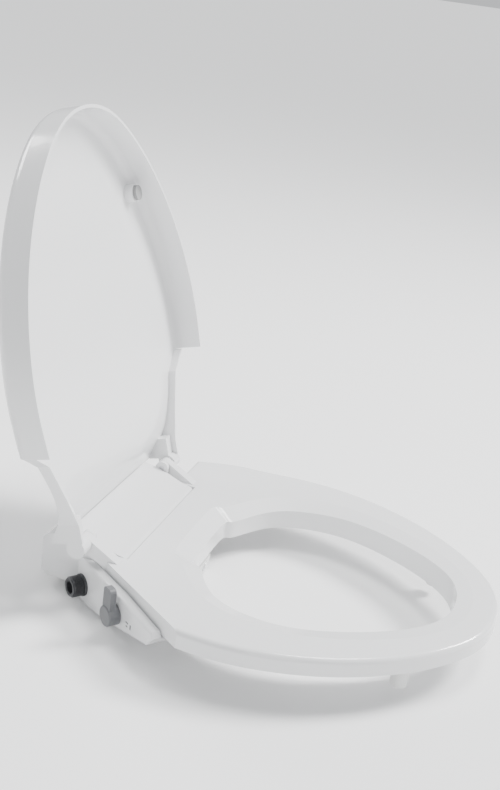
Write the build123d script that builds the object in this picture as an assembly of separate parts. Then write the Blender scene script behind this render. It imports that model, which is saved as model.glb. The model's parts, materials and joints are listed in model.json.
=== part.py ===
from build123d import *
from math import cos, radians, sin
import os

# ---------------------------------------------------------------- driving dimensions (mm)
# z = 0 is the top of the bowl's deck, x = 0, y = 0 is midway between the two bolts, front is -Y.
SEAT_TOP, SKIRT_BOTTOM, LIP_BOTTOM = 42.0, 25.0, 15.0
HINGE_Y, HINGE_Z = -26.0, 54.5
OPEN_ANGLE = 106.0
LID_GROW, LID_WALL = 3.4, 3.0
LID_TOP, LID_INNER = 58.0, 54.5
LID_NOTCH_Y = -136.0
NECK_BOTTOM = 46.0
PANEL_HALF, PANEL_FRONT, PANEL_REAR, PANEL_WALL = 90.0, -64.5, 22.0, 2.5
CREASE_Y, CREASE_Z = -6.0, 56.8
SEAT_GAP = 1.5
PLATE_T = 4.0
BOLT_X, BOLT_HOLE_R = 70.0, 4.5
PIN_R, PIN_BORE_R, BUSH_R = 3.0, 3.06, 5.0
POST_IN, POST_OUT = 90.3, 95.0
LUG_IN, LUG_OUT = 95.5, 106.0
FOOT_IN, FOOT_OUT = 106.5, 122.0
POD_NORMAL = (-0.797, 0.604)
POD_FACE, POD_GAP_PLANE, SEAT_CUT_PLANE, POD_INNER = 64.8, 55.3, 53.8, 33.0
POD_LIP_TOP, POD_BODY_TOP, POD_WALL = 33.0, 21.5, 3.0
INLET_T, INLET_Z, INLET_R, INLET_BORE_R, INLET_LENGTH = 83.5, 8.2, 10.2, 6.0, 14.0
KNOB_T, KNOB_Z, KNOB_R, KNOB_LENGTH = 148.0, 14.0, 10.0, 12.0
LEVER_LENGTH, LEVER_WIDTH = 29.0, 13.0
NOZZLE_TILT, NOZZLE_X, NOZZLE_R, NOZZLE_BORE_R = 8.0, 9.0, 5.0, 5.3
NOSE_Y, NOSE_Z, NOSE_LENGTH, NOSE_WIDTH, NOSE_HEIGHT = -112.0, -1.0, 96.0, 44.0, 16.0
NOZZLE_TRAVEL = 60.0
BUFFERS = {"front_left": (100, -334), "front_right": (-100, -334),
           "rear_left": (140, -150), "rear_right": (-140, -150)}
BUMPER_X, BUMPER_Y = 119.0, -315.0
PLAN_CENTRE_Y = -215.0

SEAT_HALF_PLAN = [(0, -403), (86, -371), (144, -305), (178, -222), (183, -173), (178, -115),
                  (160, -43)]
HOLE_HALF_PLAN = [(0, -363.5), (66, -334.5), (102, -280), (119, -221), (114, -184), (92, -149),
                  (52, -123), (0, -115.3)]
NECK_HALF_PLAN = [(0, -137), (178, -137), (152, -118), (134, -80), (FOOT_OUT, -50),
                  (FOOT_OUT, -20), (0, -20)]

parts = {}


# ---------------------------------------------------------------- helpers
def grown(points, amount):
    """Points moved outward from the plan centre; x = 0 points stay on the centre line."""
    moved = []
    for x, y in points:
        length = (x * x + (y - PLAN_CENTRE_Y) ** 2) ** 0.5
        moved.append((x + amount * x / length, y + amount * (y - PLAN_CENTRE_Y) / length))
    return moved


def mirrored_face(half_edges):
    right = half_edges
    left = [edge.mirror(Plane.YZ) for edge in half_edges]
    return make_face(right + left)


def seat_plan(grow=0.0):
    points = grown(SEAT_HALF_PLAN, grow)
    side = Spline(points, tangents=[(1, 0), (-0.45, 1)])
    rear = Line(points[-1], (0, points[-1][1]))
    return mirrored_face([side, rear])


def hole_plan(grow=0.0):
    return mirrored_face([Spline(grown(HOLE_HALF_PLAN, grow), tangents=[(1, 0), (-1, 0)])])


def slab(face, z0, z1):
    return Pos(0, 0, z0) * extrude(face, z1 - z0)


def box(x0, x1, y0, y1, z0, z1):
    return Pos((x0 + x1) / 2, (y0 + y1) / 2, (z0 + z1) / 2) * Box(x1 - x0, y1 - y0, z1 - z0)


def side_prism(face_yz, x0, x1):
    """A face drawn as (y, z) pushed along X from x0 to x1."""
    return Pos(x0, 0, 0) * extrude(Plane.YZ * face_yz, x1 - x0)


def x_cylinder(radius, x0, x1):
    low, high = min(x0, x1), max(x0, x1)
    return Pos((low + high) / 2, HINGE_Y, HINGE_Z) * Rot(0, 90, 0) * Cylinder(radius, high - low)


def opened(shape):
    axis = Axis((0, HINGE_Y, HINGE_Z), (1, 0, 0))
    return shape.rotate(axis, -OPEN_ANGLE)


def add(name, shape, colour):
    solids = shape.solids()
    result = solids[0] if len(solids) == 1 else Compound(children=list(solids))
    result.label = name
    result.color = Color(colour)
    parts[name] = result


POD = Plane(origin=(POD_NORMAL[0] * POD_FACE, POD_NORMAL[1] * POD_FACE, 0),
            x_dir=(-POD_NORMAL[1], POD_NORMAL[0], 0), z_dir=(*POD_NORMAL, 0))


def pod_prism(outline, d0, d1):
    """An outline in (along the pod, up), pushed from depth d0 to d1 (0 is the outer face)."""
    return POD * Pos(0, 0, d0) * extrude(make_face(outline), d1 - d0)


def pod_cylinder(t, z, radius, d0, d1):
    return POD * Pos(t, z, (d0 + d1) / 2) * Cylinder(radius, d1 - d0)


def pod_box(t0, t1, z0, z1, d0, d1):
    return POD * Pos((t0 + t1) / 2, (z0 + z1) / 2, (d0 + d1) / 2) * Box(t1 - t0, z1 - z0, d1 - d0)


# ---------------------------------------------------------------- base plate and mounts
def build_base():
    plate = box(-PANEL_HALF, PANEL_HALF, PANEL_FRONT + 2, PANEL_REAR, 0, PLATE_T)
    plate = fillet(plate.edges().filter_by(Axis.Z), 8)
    plate += box(-POST_OUT, POST_OUT, HINGE_Y - 10, HINGE_Y + 6, 0, PLATE_T)
    plate -= box(-26, 26, PANEL_FRONT, -18, -1, PLATE_T + 1)
    for side in (-1, 1):
        plate -= Pos(side * BOLT_X, 0, PLATE_T / 2) * Cylinder(BOLT_HOLE_R, PLATE_T + 2)
    add("base_plate", plate, "white")
    for side, word in ((1, "left"), (-1, "right")):
        low, high = sorted((side * POST_IN, side * POST_OUT))
        post = box(low, high, HINGE_Y - 7, HINGE_Y + 5, PLATE_T, HINGE_Z)
        post += x_cylinder(7, side * POST_IN, side * POST_OUT)
        post -= x_cylinder(PIN_R, side * (POST_IN - 1), side * (POST_OUT + 1))
        add(f"hinge_post_{word}", post, "white")
        add(f"hinge_pin_{word}", x_cylinder(PIN_R, side * POST_IN, side * (FOOT_OUT - 3)), "silver")


# ---------------------------------------------------------------- bridge cover
def cover_profile(inset):
    front, rear = PANEL_FRONT + inset, PANEL_REAR - inset
    crease = (CREASE_Y - inset, CREASE_Z - inset)
    deck = 46.0 - inset
    top = Spline([(front + 5, SEAT_TOP - inset), (-34, 50.5 - inset), crease],
                 tangents=[(1, 0.15), (1, 0.12)])
    corner = Spline([(front, SEAT_TOP - 6), (front + 5, SEAT_TOP - inset)],
                    tangents=[(0, 1), (1, 0.15)])
    rest = Polyline([crease, (CREASE_Y - inset, deck), (rear - 6, deck), (rear, deck - 6),
                     (rear, PLATE_T), (front, PLATE_T), (front, SEAT_TOP - 6)])
    return make_face([corner, top, rest])


def build_cover():
    cover = side_prism(cover_profile(0), -PANEL_HALF, PANEL_HALF)
    cover -= side_prism(cover_profile(PANEL_WALL), -PANEL_HALF + PANEL_WALL, PANEL_HALF - PANEL_WALL)
    cover -= box(-25, 25, PANEL_FRONT - 1, PANEL_FRONT + 4, 0, 16.5)
    add("bridge_cover", cover, "white")


# ---------------------------------------------------------------- seat
def beyond_cut(margin=0.0):
    """Everything on the control side beyond the seat's diagonal edge."""
    depth = SEAT_CUT_PLANE - margin - POD_FACE
    return POD * Pos(60, 40, 60 + depth) * Box(400, 160, 120)


def build_seat():
    ring = slab(seat_plan(), SKIRT_BOTTOM, SEAT_TOP)
    ring = fillet(ring.edges().group_by(Axis.Z)[-1], 5)
    ring += slab(hole_plan(12), LIP_BOTTOM, SKIRT_BOTTOM + 1)
    side_edges = (-PANEL_HALF - SEAT_GAP, PANEL_HALF + SEAT_GAP)
    ring -= box(*side_edges, PANEL_FRONT - SEAT_GAP, 0, 0, 60)
    ring -= beyond_cut()
    ring -= slab(hole_plan(), 0, 60)
    dish = loft([Pos(0, 0, SEAT_TOP + 0.5) * hole_plan(20),
                 Plane(origin=(0, PLAN_CENTRE_Y, 36), x_dir=(1, 0, 0),
                       z_dir=(0, 0.03, 1)) * Pos(0, -PLAN_CENTRE_Y) * hole_plan(-0.5)])
    ring -= dish
    pocket = slab(seat_plan(-5), SKIRT_BOTTOM - 1, SEAT_TOP - 5) - slab(hole_plan(13), 0, 60)
    pocket -= box(side_edges[0] - 4, side_edges[1] + 4, PANEL_FRONT - SEAT_GAP - 4, 0, 0, 60)
    pocket -= beyond_cut(4)
    ring -= pocket
    lug_face = make_face(Polyline([(-62, 28), (-62, SEAT_TOP), (HINGE_Y - 4, HINGE_Z + 5.7),
                                   (HINGE_Y + 5, HINGE_Z - 4.9), (-46, 36), (-53, 28), (-62, 28)]))
    for side, word in ((1, "left"), (-1, "right")):
        low, high = sorted((side * LUG_IN, side * LUG_OUT))
        lug = side_prism(lug_face, low, high) + x_cylinder(7, low, high)
        lug -= x_cylinder(BUSH_R, low - 1, high + 1)
        lug = (lug - ring).solids().sort_by(SortBy.VOLUME)[-1]
        add(f"seat_hinge_lug_{word}", lug, "white")
        bush = x_cylinder(BUSH_R, low, high) - x_cylinder(PIN_BORE_R, low - 1, high + 1)
        add(f"seat_damper_bush_{word}", bush, "gray")
    add("seat_ring", ring, "white")
    for word, (x, y) in BUFFERS.items():
        foot = Pos(x, y, (SEAT_TOP - 5) / 2) * Cylinder(8, SEAT_TOP - 5)
        foot = fillet(foot.edges().group_by(Axis.Z)[0], 2)
        add(f"seat_buffer_{word}", foot, "gray")


# ---------------------------------------------------------------- lid (drawn closed, then opened)
def hump_outer():
    return Spline([(-138, LID_TOP), (-80, LID_TOP + 0.3), (-54, 65.5), (-32.3, 78.2)],
                  tangents=[(1, 0), (0.9, 0.42)])


def hump_inner():
    return Spline([(-138, LID_INNER), (-80, LID_INNER + 0.3), (-53, 61.9), (-31.4, 74.8)],
                  tangents=[(1, 0), (0.9, 0.42)])


def under(curve, bottom):
    start, end = curve @ 0, curve @ 1
    rest = Polyline([(end.X, end.Y), (end.X, bottom), (start.X, bottom), (start.X, start.Y)])
    return make_face([curve, rest])


def neck_plan(inset):
    points = [(x - inset if x > 0 else 0, y) for x, y in NECK_HALF_PLAN]
    return mirrored_face([Polyline(points)])


def build_lid():
    outer = slab(seat_plan(LID_GROW), SKIRT_BOTTOM + 0.5, LID_TOP)
    outer = fillet(outer.edges().group_by(Axis.Z)[-1].sort_by(SortBy.LENGTH)[-2:], 11)
    inner = slab(seat_plan(LID_GROW - LID_WALL), SKIRT_BOTTOM, LID_INNER)
    inner = fillet(inner.edges().group_by(Axis.Z)[-1].sort_by(SortBy.LENGTH)[-2:], 8)
    front = (outer - inner) & box(-300, 300, -600, LID_NOTCH_Y, 0, 100)
    neck = side_prism(under(hump_outer(), NECK_BOTTOM), -200, 200) & slab(neck_plan(0), 0, 100)
    neck -= side_prism(under(hump_inner(), NECK_BOTTOM - 1), -200, 200) & slab(
        neck_plan(LID_WALL), 0, 100)
    neck &= box(-300, 300, LID_NOTCH_Y, 0, 0, 100)
    add("lid_shell", opened(front + neck), "white")
    web_face = under(hump_inner(), HINGE_Z - 3)
    for side, word in ((1, "left"), (-1, "right")):
        low, high = sorted((side * FOOT_IN, side * (FOOT_OUT - LID_WALL)))
        foot = side_prism(web_face, low, high) & box(low, high, -54, 0, 0, 100)
        foot += box(low, high, -34, HINGE_Y, HINGE_Z - 3, 64)
        foot += x_cylinder(9, low, high)
        cap_low, cap_high = sorted((side * (FOOT_OUT - LID_WALL), side * FOOT_OUT))
        cap = x_cylinder(9, cap_low, cap_high) - neck
        foot += cap
        foot -= neck
        foot -= x_cylinder(BUSH_R, side * (FOOT_IN - 1), side * (FOOT_OUT - 2.7))
        add(f"lid_hinge_foot_{word}", opened(foot), "white")
        bush = x_cylinder(BUSH_R, side * FOOT_IN, side * (FOOT_OUT - 2.7))
        bush -= x_cylinder(PIN_BORE_R, side * (FOOT_IN - 1), side * (FOOT_OUT - 2))
        add(f"lid_damper_bush_{word}", opened(bush), "gray")
        socket = Pos(side * BUMPER_X, BUMPER_Y, (46 + LID_INNER) / 2) * Cylinder(9.5, LID_INNER - 46)
        add(f"lid_bumper_base_{word}", opened(socket), "white")
        pad = Pos(side * BUMPER_X, BUMPER_Y, (SEAT_TOP + 0.3 + 46) / 2) * Cylinder(
            7.5, 46 - SEAT_TOP - 0.3)
        add(f"lid_bumper_pad_{word}", opened(pad), "gray")


# ---------------------------------------------------------------- control pod
def pod_outline(inset):
    return Polyline([(50, -6 + inset), (72, -9 + inset), (97, -9.5 + inset), (125, -6 + inset),
                     (200 - inset, 12 + inset), (210 - inset, 24), (206 - inset, 28.5 - inset),
                     (150, POD_LIP_TOP - inset), (50, POD_LIP_TOP + 0.5 - inset), (50, -6 + inset)])


def build_pod():
    beside_bridge = box(-400, -PANEL_HALF, -400, 200, -50, 100)
    lip = pod_prism(pod_outline(0), POD_GAP_PLANE - POD_FACE, 0)
    lip = fillet(lip.edges().filter_by(POD).group_by(Axis((0, 0, 0), (*POD_NORMAL, 0)))[-1].filter_by(
        lambda e: e.length > 5), 2.5)
    low = pod_box(0, 300, -60, POD_BODY_TOP, -100, 0)
    body = pod_prism(pod_outline(0), POD_INNER - POD_FACE, POD_GAP_PLANE - POD_FACE) & low
    cavity = pod_prism(pod_outline(POD_WALL), POD_INNER - POD_FACE - 1, -POD_WALL)
    cavity &= pod_box(0, 198, -60, POD_BODY_TOP - POD_WALL, -100, 0)
    cavity &= box(-400, -POST_OUT - POD_WALL, -400, 200, -50, 100)
    shell = ((lip + body) & beside_bridge) - cavity
    shell -= box(-POST_OUT - 0.3, 0, HINGE_Y - 10.3, 100, -50, 100)
    shell -= pod_cylinder(INLET_T, INLET_Z, INLET_BORE_R + 1.2, -10, 1)
    shell -= pod_cylinder(KNOB_T, KNOB_Z, 3.3, -10, 1)
    add("pod_shell", shell, "white")
    cover_depth = POD_INNER - POD_FACE
    lid = cavity & pod_box(0, 300, -60, 60, cover_depth, cover_depth + 2)
    add("pod_back_cover", lid, "lightgray")
    inlet = pod_cylinder(INLET_T, INLET_Z, INLET_R, 5, INLET_LENGTH)
    inlet += pod_cylinder(INLET_T, INLET_Z, INLET_R - 0.7, 2, 6)
    inlet += pod_cylinder(INLET_T, INLET_Z, INLET_R + 0.8, 0, 2.5)
    inlet += pod_cylinder(INLET_T, INLET_Z, INLET_BORE_R + 1.2, -POD_WALL, 1)
    inlet -= pod_cylinder(INLET_T, INLET_Z, INLET_BORE_R, -POD_WALL - 1, INLET_LENGTH + 1)
    add("water_inlet", inlet, "dimgray")
    screen = pod_cylinder(INLET_T, INLET_Z, INLET_BORE_R, -2.5, -1)
    for dt in (-3, 0, 3):
        for dz in (-3, 0, 3):
            screen -= pod_cylinder(INLET_T + dt, INLET_Z + dz, 0.8, -4, 0)
    add("inlet_filter", screen, "silver")
    valve = pod_box(INLET_T - 6, KNOB_T + 10, INLET_Z - 5, KNOB_Z + 1, -27, -12)
    valve += pod_cylinder(KNOB_T, KNOB_Z - 1, 5, -27, -6)
    valve += pod_box(INLET_T, INLET_T + 22, INLET_Z - 5, INLET_Z + 5, -12, -POD_WALL)
    valve &= pod_prism(pod_outline(POD_WALL + 0.3), POD_INNER - POD_FACE + 2, -POD_WALL)
    valve &= pod_box(0, 300, -60, POD_BODY_TOP - POD_WALL - 0.3, -100, 0)
    valve -= pod_cylinder(KNOB_T, KNOB_Z, 2.8, -20, 0)
    valve &= box(-400, -POST_OUT - POD_WALL - 0.3, -400, 200, -50, 100)
    add("valve_body", valve, "gold")
    hub = pod_cylinder(KNOB_T, KNOB_Z, KNOB_R, 0.5, KNOB_LENGTH)
    hub = fillet(hub.edges().group_by(Axis((0, 0, 0), (*POD_NORMAL, 0)))[-1], 1.5)
    lever = pod_box(KNOB_T - LEVER_WIDTH / 2, KNOB_T + LEVER_WIDTH / 2, KNOB_Z,
                    KNOB_Z + LEVER_LENGTH, 5, KNOB_LENGTH - 1)
    lever = fillet(lever.edges().filter_by(Axis((0, 0, 0), (*POD_NORMAL, 0))).group_by(Axis.Z)[-1], 4)
    add("control_knob", hub + lever, "gray")
    add("valve_spindle", pod_cylinder(KNOB_T, KNOB_Z, 2.5, -19, 0.5), "gold")
    ring = pod_cylinder(KNOB_T, KNOB_Z, 3.3, -2.5, -0.5) - pod_cylinder(KNOB_T, KNOB_Z, 2.8, -3, 0)
    add("spindle_seal", ring, "black")


# ---------------------------------------------------------------- nozzles
NOSE = Plane(origin=(0, NOSE_Y, NOSE_Z), x_dir=(1, 0, 0),
             z_dir=(0, -cos(radians(NOZZLE_TILT)), -sin(radians(NOZZLE_TILT))))


def nose_cylinder(x, radius, s0, s1, up=0.0):
    """s is measured along the nozzle axis, positive out of the front face."""
    return NOSE * Pos(x, -up, (s0 + s1) / 2) * Cylinder(radius, s1 - s0)


def build_nozzles():
    body = NOSE * Pos(0, 0, -NOSE_LENGTH / 2) * Box(NOSE_WIDTH, NOSE_HEIGHT, NOSE_LENGTH)
    for side in (-1, 1):
        low, high = sorted((side * (NOSE_WIDTH / 2 - 4), side * 42))
        body += box(low, high, -56, -24, PLATE_T, PLATE_T + 3)
    for side in (-1, 1):
        body -= nose_cylinder(side * NOZZLE_X, NOZZLE_BORE_R, -NOSE_LENGTH + 3, 1)
        body -= nose_cylinder(side * NOZZLE_X, 2.0, -NOSE_LENGTH - 1, 0)
    body -= box(-100, 100, -20, 50, -20, PLATE_T)
    add("nozzle_housing", body, "white")
    for side, word in ((1, "rear"), (-1, "front")):
        x = side * NOZZLE_X
        tube = nose_cylinder(x, NOZZLE_R, -NOSE_LENGTH + 3.5, -14)
        tube -= nose_cylinder(x, 1.6, -NOSE_LENGTH, 0)
        add(f"{word}_nozzle_tube", tube, "white")
        tip = nose_cylinder(x, NOZZLE_R, -14, 2)
        tip = fillet(tip.edges().group_by(Axis((0, 0, 0), tuple(NOSE.z_dir)))[-1], 2)
        tip -= NOSE * Pos(x, -3, -4) * Rot(90, 0, 0) * Cylinder(0.9, 8)
        add(f"{word}_nozzle_tip", tip, "lightgray")
        rear = NOSE.from_local_coords(Vector(x, 0, -NOSE_LENGTH))
        start = (rear.X, rear.Y, rear.Z)
        rise = 9 + 9 * side
        mid = (-42, rear.Y + 8, rear.Z + 4 + rise)
        stop = (-PANEL_HALF + PANEL_WALL, -44, 18 + rise)
        turn = (rear.X, rear.Y + 14, rear.Z + 2)
        path = FilletPolyline([start, turn, mid, stop], radius=10)
        hose = sweep(Plane(origin=start, z_dir=path % 0) * Circle(2.5), path=path)
        hose -= body
        hose &= box(-PANEL_HALF + PANEL_WALL, 60, -80, 20, 0, 60)
        add(f"feed_hose_{word}", hose, "lightblue")


build_base()
build_cover()
build_seat()
build_lid()
build_pod()
build_nozzles()

os.makedirs("parts", exist_ok=True)
for name, shape in parts.items():
    export_step(shape, f"parts/{name}.step")
    bounds = shape.bounding_box()
    print(f"{name:26s} vol {shape.volume:10.0f} n {len(shape.solids())} valid {shape.is_valid}",
          [round(v, 1) for v in (*bounds.min, *bounds.max)])
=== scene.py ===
import json
from math import cos, pi, radians, sin

import bmesh
import bpy
from mathutils import Matrix, Vector


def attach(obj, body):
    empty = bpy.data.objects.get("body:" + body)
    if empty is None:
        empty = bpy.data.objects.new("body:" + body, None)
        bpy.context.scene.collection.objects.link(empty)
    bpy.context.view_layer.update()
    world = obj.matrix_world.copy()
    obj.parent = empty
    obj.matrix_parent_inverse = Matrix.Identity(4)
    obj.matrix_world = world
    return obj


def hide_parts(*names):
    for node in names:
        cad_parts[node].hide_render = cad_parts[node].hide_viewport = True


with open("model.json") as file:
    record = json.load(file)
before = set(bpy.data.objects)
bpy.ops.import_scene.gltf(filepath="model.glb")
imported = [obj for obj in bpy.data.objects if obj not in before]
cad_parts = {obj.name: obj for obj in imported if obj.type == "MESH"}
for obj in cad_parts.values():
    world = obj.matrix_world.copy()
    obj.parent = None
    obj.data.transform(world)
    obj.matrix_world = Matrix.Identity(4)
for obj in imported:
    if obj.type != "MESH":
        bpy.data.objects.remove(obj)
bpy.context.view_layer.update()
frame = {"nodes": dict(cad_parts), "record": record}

# ------------------------------------------------------------------ named values (metres)
# The pod's outer face: a point on it is given by its distance along the face, its height
# and its distance out from the face.
POD_NORMAL = Vector((-0.797, 0.604, 0)).normalized()
POD_ALONG = Vector((-0.604, -0.797, 0)).normalized()
POD_FACE_DISTANCE = 0.0648
POD_ORIGIN = Vector((-0.797, 0.604, 0)) * POD_FACE_DISTANCE
INLET_ALONG, INLET_HEIGHT = 0.0835, 0.0082

INLET_BORE_RADIUS = 0.006
INLET_SOCKET_RADIUS = 0.0072
INLET_COLLAR_RADIUS = 0.011
INLET_SHOULDER_RADIUS = 0.0104
INLET_LEAD_IN_RADIUS = 0.0089
INLET_MOUTH_RADIUS = 0.0066
INLET_DEPTH = 0.003
INLET_COLLAR_LENGTH, INLET_SHOULDER_LENGTH = 0.0018, 0.0025
INLET_END, INLET_BEVEL_START = 0.014, 0.0133
INLET_BEVEL_END = 0.0134

THREAD_CREST_RADIUS, THREAD_ROOT_RADIUS = 0.0102, 0.0093
THREAD_TURNS, THREAD_PITCH, THREAD_START = 6, 0.0016, 0.0032
CREST_START, CREST_END, THREAD_END = 0.0005, 0.0009, 0.0014

# Each mark beside the knob: distance along the pod's face, height, width and tallness.
MARKS = [(0.168, 0.016, 0.004, 0.0012), (0.168, 0.0125, 0.0026, 0.0012), (0.174, 0.0145, 0.0016, 0.0045)]
MARK_THICKNESS, MARK_OFFSET = 0.0004, 0.0001

# The camera: where it looks from (degrees and metres), and its lens (mm on a 36 mm sensor).
CAM_AZIMUTH, CAM_ELEVATION, CAM_ROLL = -74.702, 23.648, 8.076
CAM_TARGET = Vector((0.008066, -0.125207, 0.122111))
CAM_DISTANCE = 1.0776
CAM_SENSOR, CAM_LENS = 36, 50.590025
CAM_SHIFT_X, CAM_SHIFT_Y = 0.0228734, 0.0820506
CAM_CLIP_START = 0.01

# The studio: an area light is its name, place, size (metres) and power (watts).
FLOOR_SIZE, FLOOR_HEIGHT = 400, -0.0105
LIGHTS_AIM = (0, -0.15, 0.12)
AREA_LIGHTS = [
    ("key", (1.3, -1.7, 1.7), 0.7, 45),
    ("side", (-2.2, -0.9, 0.8), 0.9, 8),
    ("back", (0.6, 2.0, 1.7), 0.9, 30),
    ("top", (0.5, -0.6, 2.2), 0.8, 35),
]
SUN_STRENGTH, SUN_ANGLE, SUN_DIRECTION = 3.1, 18, Vector((-0.55, 0.6, -0.75))
WORLD_COLOUR, WORLD_STRENGTH = (0.96, 0.98, 1.0, 1), 0.7

COAT_ROUGHNESS = 0.06
GRAIN_DETAIL, GRAIN_DEPTH = 3.0, 0.0002


# ------------------------------------------------------------------ materials
def input_set(node, name, value):
    node.inputs[name].default_value = value


def plastic(name, colour, roughness, coat=0.0, grain=0.0, scale=900.0, metallic=0.0):
    """A procedural plastic, rubber or metal, with a fine grain in its normal."""
    material = bpy.data.materials.new(name)
    material.use_nodes = True
    nodes, links = material.node_tree.nodes, material.node_tree.links
    shader = nodes["Principled BSDF"]
    input_set(shader, "Base Color", (*colour, 1))
    input_set(shader, "Roughness", roughness)
    input_set(shader, "Metallic", metallic)
    input_set(shader, "Coat Weight", coat)
    input_set(shader, "Coat Roughness", COAT_ROUGHNESS)
    if grain:
        where = nodes.new("ShaderNodeTexCoord")
        noise = nodes.new("ShaderNodeTexNoise")
        input_set(noise, "Scale", scale)
        input_set(noise, "Detail", GRAIN_DETAIL)
        bump = nodes.new("ShaderNodeBump")
        input_set(bump, "Strength", grain)
        input_set(bump, "Distance", GRAIN_DEPTH)
        links.new(where.outputs["Object"], noise.inputs["Vector"])
        links.new(noise.outputs["Fac"], bump.inputs["Height"])
        links.new(bump.outputs["Normal"], shader.inputs["Normal"])
    return material


MATERIALS = {
    "white_gloss": plastic("white_gloss", (0.82, 0.823, 0.828), 0.18, coat=0.5, grain=0.03, scale=60),
    "white_satin": plastic("white_satin", (0.78, 0.78, 0.77), 0.45, grain=0.1),
    "knob_grey": plastic("knob_grey", (0.13, 0.133, 0.14), 0.42, grain=0.25, scale=1500),
    "inlet_grey": plastic("inlet_grey", (0.03, 0.031, 0.034), 0.4, grain=0.2, scale=1500),
    "rubber_grey": plastic("rubber_grey", (0.3, 0.3, 0.3), 0.7, grain=0.4, scale=1800),
    "rubber_white": plastic("rubber_white", (0.75, 0.75, 0.74), 0.6, grain=0.2),
    "rubber_black": plastic("rubber_black", (0.02, 0.02, 0.02), 0.6, grain=0.3),
    "steel": plastic("steel", (0.6, 0.6, 0.62), 0.3, grain=0.2, scale=1200, metallic=1.0),
    "brass": plastic("brass", (0.7, 0.5, 0.22), 0.3, grain=0.2, scale=1200, metallic=1.0),
    "hose_blue": plastic("hose_blue", (0.45, 0.6, 0.75), 0.35, grain=0.1),
    "mark_grey": plastic("mark_grey", (0.12, 0.12, 0.13), 0.5, grain=0.1),
}


def paint(obj, slot):
    obj.data.materials.clear()
    obj.data.materials.append(MATERIALS[slot])


def smooth(obj, angle=35):
    for polygon in obj.data.polygons:
        polygon.use_smooth = True
    obj.data.set_sharp_from_angle(angle=radians(angle))


def paint_cad_nodes():
    slots = {entry["node"]: entry["material_slot"] for entry in frame["record"]["subparts"]}
    for name, obj in frame["nodes"].items():
        paint(obj, slots.get(name, "white_satin"))
        smooth(obj)


# ------------------------------------------------------------------ mesh helpers
def pod_point(along, height, out):
    return POD_ORIGIN + POD_ALONG * along + POD_NORMAL * out + Vector((0, 0, height))


def new_object(name, mesh):
    obj = bpy.data.objects.new(name, mesh)
    bpy.context.scene.collection.objects.link(obj)
    return obj


def lathe(name, profile, origin, axis, steps=64):
    """Turns a list of (radius, height) about an axis that starts at origin."""
    turn = axis.to_track_quat("Z", "Y").to_matrix().to_4x4()
    place = Matrix.Translation(origin) @ turn
    mesh = bpy.data.meshes.new(name)
    build = bmesh.new()
    rings = []
    for radius, height in profile:
        ring = []
        for step in range(steps):
            angle = 2 * pi * step / steps
            point = Vector((radius * cos(angle), radius * sin(angle), height))
            ring.append(build.verts.new(place @ point))
        rings.append(ring)
    count = len(rings)
    for row in range(count):
        low, high = rings[row], rings[(row + 1) % count]
        for step in range(steps):
            after = (step + 1) % steps
            build.faces.new((low[step], low[after], high[after], high[step]))
    bmesh.ops.recalc_face_normals(build, faces=build.faces)
    build.to_mesh(mesh)
    build.free()
    return new_object(name, mesh)


# ------------------------------------------------------------------ detailed pieces
def make_inlet():
    """Threaded inlet with an open bore and a collar at the pod."""
    profile = [
        (INLET_BORE_RADIUS, -INLET_DEPTH),
        (INLET_SOCKET_RADIUS, -INLET_DEPTH),
        (INLET_SOCKET_RADIUS, 0.0),
        (INLET_COLLAR_RADIUS, 0.0),
        (INLET_COLLAR_RADIUS, INLET_COLLAR_LENGTH),
        (INLET_SHOULDER_RADIUS, INLET_SHOULDER_LENGTH),
        (THREAD_ROOT_RADIUS, INLET_SHOULDER_LENGTH),
    ]
    for turn in range(THREAD_TURNS):
        start = THREAD_START + turn * THREAD_PITCH
        profile += [
            (THREAD_ROOT_RADIUS, start),
            (THREAD_CREST_RADIUS, start + CREST_START),
            (THREAD_CREST_RADIUS, start + CREST_END),
            (THREAD_ROOT_RADIUS, start + THREAD_END),
        ]
    profile += [
        (THREAD_ROOT_RADIUS, INLET_BEVEL_START),
        (INLET_LEAD_IN_RADIUS, INLET_END),
        (INLET_MOUTH_RADIUS, INLET_END),
        (INLET_BORE_RADIUS, INLET_BEVEL_END),
    ]
    origin = pod_point(INLET_ALONG, INLET_HEIGHT, 0)
    inlet = lathe("inlet_threaded", profile, origin, POD_NORMAL, 72)
    smooth(inlet, 30)
    paint(inlet, "inlet_grey")
    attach(inlet, "base")
    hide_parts("water_inlet")


def make_marks():
    """Small plain bars beside the knob, standing 0.3 mm proud."""
    for index, (along, height, width, tallness) in enumerate(MARKS):
        mesh = bpy.data.meshes.new(f"pod_mark_{index}")
        build = bmesh.new()
        bmesh.ops.create_cube(build, size=1)
        build.to_mesh(mesh)
        build.free()
        basis = Matrix((POD_ALONG, Vector((0, 0, 1)), POD_NORMAL)).transposed().to_4x4()
        scale = Matrix.Diagonal((width, tallness, MARK_THICKNESS, 1))
        place = Matrix.Translation(pod_point(along, height, MARK_OFFSET))
        mesh.transform(place @ basis @ scale)
        mark = new_object(f"pod_mark_{index}", mesh)
        paint(mark, "mark_grey")
        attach(mark, "base")


# ------------------------------------------------------------------ light, floor and camera
def area_light(name, location, size, power):
    data = bpy.data.lights.new(name, "AREA")
    data.shape = "DISK"
    data.size = size
    data.energy = power
    lamp = bpy.data.objects.new(name, data)
    bpy.context.scene.collection.objects.link(lamp)
    lamp.location = location
    direction = Vector(LIGHTS_AIM) - Vector(location)
    lamp.rotation_euler = direction.to_track_quat("-Z", "Y").to_euler()
    return lamp


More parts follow.
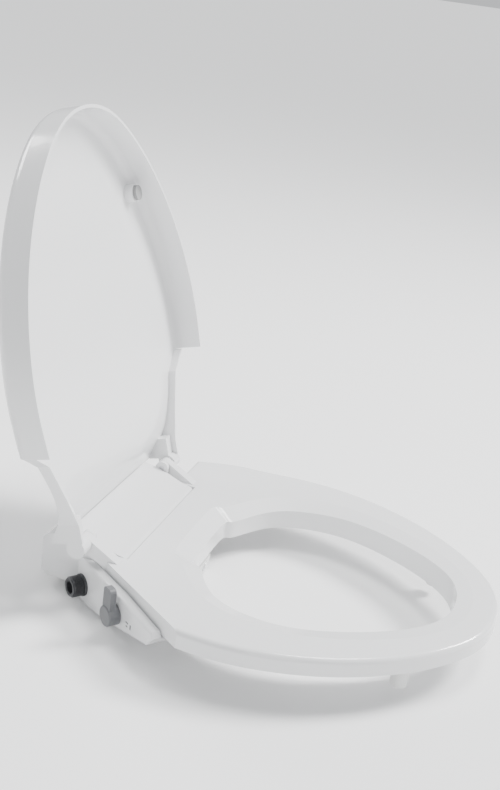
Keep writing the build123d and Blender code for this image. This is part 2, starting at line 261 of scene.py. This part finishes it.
def sun_light():
    data = bpy.data.lights.new("sun", "SUN")
    data.energy = SUN_STRENGTH
    data.angle = radians(SUN_ANGLE)
    sun = bpy.data.objects.new("sun", data)
    bpy.context.scene.collection.objects.link(sun)
    sun.rotation_euler = SUN_DIRECTION.to_track_quat("-Z", "Y").to_euler()
    return sun


def make_floor():
    mesh = bpy.data.meshes.new("floor")
    build = bmesh.new()
    bmesh.ops.create_grid(build, x_segments=1, y_segments=1, size=FLOOR_SIZE)
    build.to_mesh(mesh)
    build.free()
    floor = new_object("floor", mesh)
    floor.location = (0, 0, FLOOR_HEIGHT)
    material = plastic("floor_white", (0.95, 0.95, 0.95), 0.8, grain=0.02, scale=40)
    floor.data.materials.append(material)
    return floor


def make_studio():
    floor = make_floor()
    lamps = [sun_light()]
    lamps += [area_light(*values) for values in AREA_LIGHTS]
    world = bpy.data.worlds.new("studio")
    bpy.context.scene.world = world
    world.use_nodes = True
    background = world.node_tree.nodes["Background"]
    input_set(background, "Color", WORLD_COLOUR)
    input_set(background, "Strength", WORLD_STRENGTH)


def make_camera():
    azimuth, elevation, roll = (radians(v) for v in (CAM_AZIMUTH, CAM_ELEVATION, CAM_ROLL))
    back = Vector((sin(azimuth) * cos(elevation), -cos(azimuth) * cos(elevation), sin(elevation)))
    right = (-back).cross(Vector((0, 0, 1))).normalized()
    up = right.cross(-back)
    rolled_right = cos(roll) * right + sin(roll) * up
    rolled_up = cos(roll) * up - sin(roll) * right
    data = bpy.data.cameras.new("camera")
    camera = bpy.data.objects.new("camera", data)
    bpy.context.scene.collection.objects.link(camera)
    rotation = Matrix((rolled_right, rolled_up, back)).transposed().to_4x4()
    camera.matrix_world = Matrix.Translation(CAM_TARGET + back * CAM_DISTANCE) @ rotation
    data.sensor_width = CAM_SENSOR
    data.lens = CAM_LENS
    data.shift_x = CAM_SHIFT_X
    data.shift_y = CAM_SHIFT_Y
    data.clip_start = CAM_CLIP_START
    bpy.context.scene.camera = camera


paint_cad_nodes()
make_inlet()
make_marks()
make_studio()
make_camera()
